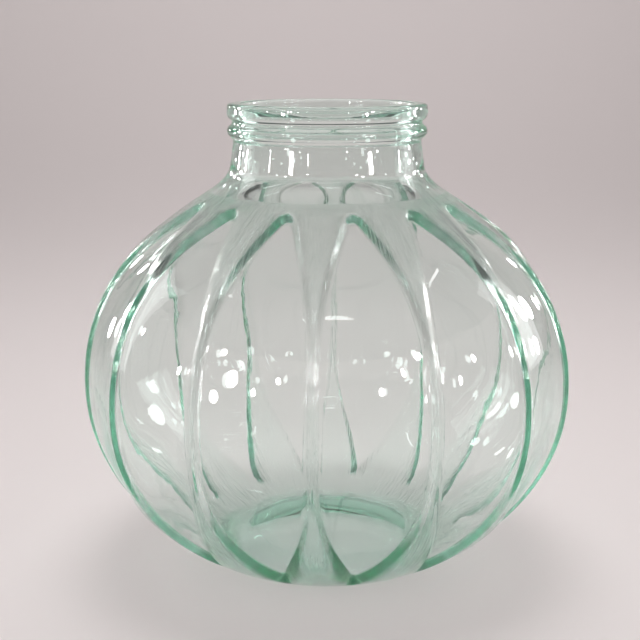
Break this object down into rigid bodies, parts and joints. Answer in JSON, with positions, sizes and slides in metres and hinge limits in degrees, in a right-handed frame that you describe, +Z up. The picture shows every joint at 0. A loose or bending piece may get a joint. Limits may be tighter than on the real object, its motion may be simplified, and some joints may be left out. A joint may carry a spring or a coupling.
{
  "type": "wide-mouth glass carboy",
  "caption": "Squat clear glass vessel with 14 sunk petal-shaped panels between ribs round its body, a short wide neck and a rounded, ringed lip, for holding or fermenting drinks.",
  "frame": {"origin": "on the floor, at the centre of the flat foot ring", "axes": "+Z up along the vessel's axis, out of its mouth; +X through the middle of one of the 14 panels"},
  "size_m": [0.2876, 0.292, 0.2736],
  "materials": {
    "glass": "clear, very pale aqua-green, fire-polished and glossy, deeper green where the glass is thick or seen edge-on"
  },
  "bodies": {
    "root": {"glass_vessel": "glass"}
  },
  "joints": []
}
